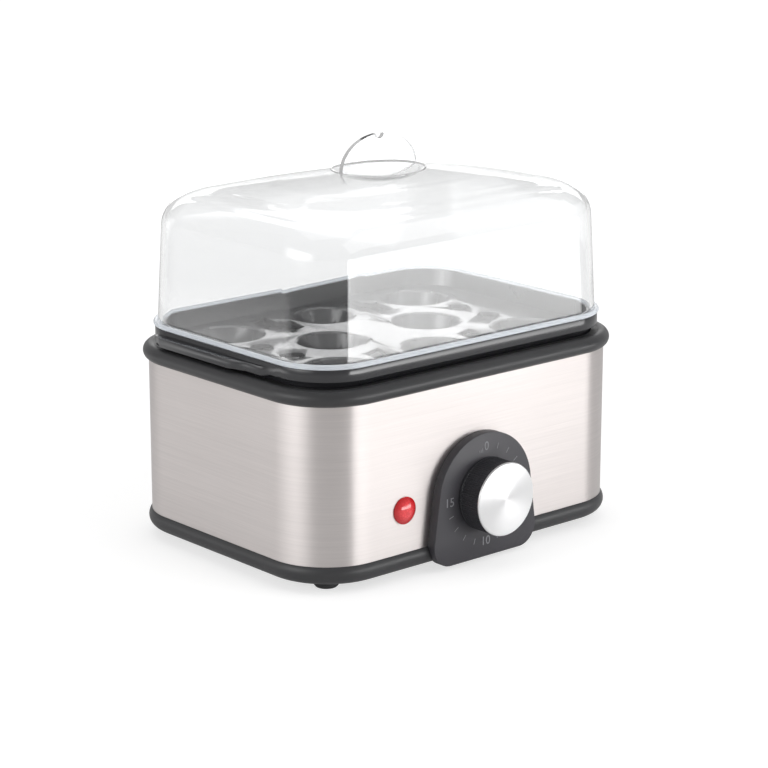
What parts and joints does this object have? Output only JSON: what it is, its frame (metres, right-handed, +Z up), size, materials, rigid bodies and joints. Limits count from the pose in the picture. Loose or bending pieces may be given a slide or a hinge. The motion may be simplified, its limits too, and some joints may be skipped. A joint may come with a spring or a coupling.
{
  "type": "egg cooker",
  "caption": "Box-shaped electric egg cooker: steel wrap between black mouldings, lift-out egg tray, clear lift-off lid, turning timer knob and lamp on the front.",
  "frame": {"origin": "centre of the bounding box's underside, on the table under the feet", "axes": "+X to the right seen from the front, +Y to the back (the knob faces -Y), +Z up"},
  "size_m": [0.2158, 0.178, 0.2047],
  "materials": {
    "black_plastic": "satin moulded black",
    "dial_plastic": "satin moulded black",
    "tray_plastic": "glossy moulded black",
    "knob_plastic": "finely ribbed black",
    "foot_rubber": "matt rubber",
    "brushed_wrap": "fine horizontal brush grain",
    "silicone": "matt silicone",
    "dish_steel": "pressed, lightly brushed",
    "spreader_aluminium": "as cast",
    "element_sheath": "dull sheath",
    "ceramic": "unglazed",
    "zinc_steel": "zinc plated",
    "thermostat_can": "stamped",
    "timer_case": "moulded case",
    "spun_aluminium": "spun, fine circular grain",
    "red_lens": "clear red",
    "bulb_glass": "clear",
    "block_plastic": "natural moulded",
    "gland_plastic": "satin",
    "clear_plastic": "clear moulded"
  },
  "bodies": {
    "base": {"base_pan": "black_plastic", "top_ring": "black_plastic", "dial_plate": "dial_plastic", "feet": "foot_rubber", "body_band": "brushed_wrap", "plate_gasket": "silicone", "heating_plate": "dish_steel", "heat_spreader": "spreader_aluminium", "heating_element": "element_sheath", "element_pins": "ceramic", "plate_clamps": "zinc_steel", "clamp_screws": "zinc_steel", "base_screws": "zinc_steel", "thermostat": "thermostat_can", "thermal_fuse": "ceramic", "fuse_strap": "zinc_steel", "spreader_screws": "zinc_steel", "timer_body": "timer_case", "timer_bell": "zinc_steel", "timer_screws": "zinc_steel", "lamp_lens": "red_lens", "lamp_bulb": "bulb_glass", "lamp_clip": "zinc_steel", "terminal_block": "block_plastic", "terminal_screws": "zinc_steel", "cord_gland": "gland_plastic", "gland_lock": "block_plastic"},
    "knob": {"knob_body": "knob_plastic", "knob_cap": "spun_aluminium", "timer_shaft": "zinc_steel"},
    "tray": {"egg_tray": "tray_plastic"},
    "lid": {"egg_lid": "clear_plastic"}
  },
  "joints": [
    {"name": "timer_turn", "type": "hinge", "parent": "base", "child": "knob", "pos_m": [-0.0016, -0.0748, 0.0355], "axis": [0, 1, 0], "range_deg": [0, 270]},
    {"name": "tray_lift", "type": "slide", "parent": "base", "child": "tray", "axis": [0, 0, 1], "range_m": [0, 0.06]},
    {"name": "lid_lift", "type": "slide", "parent": "tray", "child": "lid", "axis": [0, 0, 1], "range_m": [0, 0.1]}
  ]
}
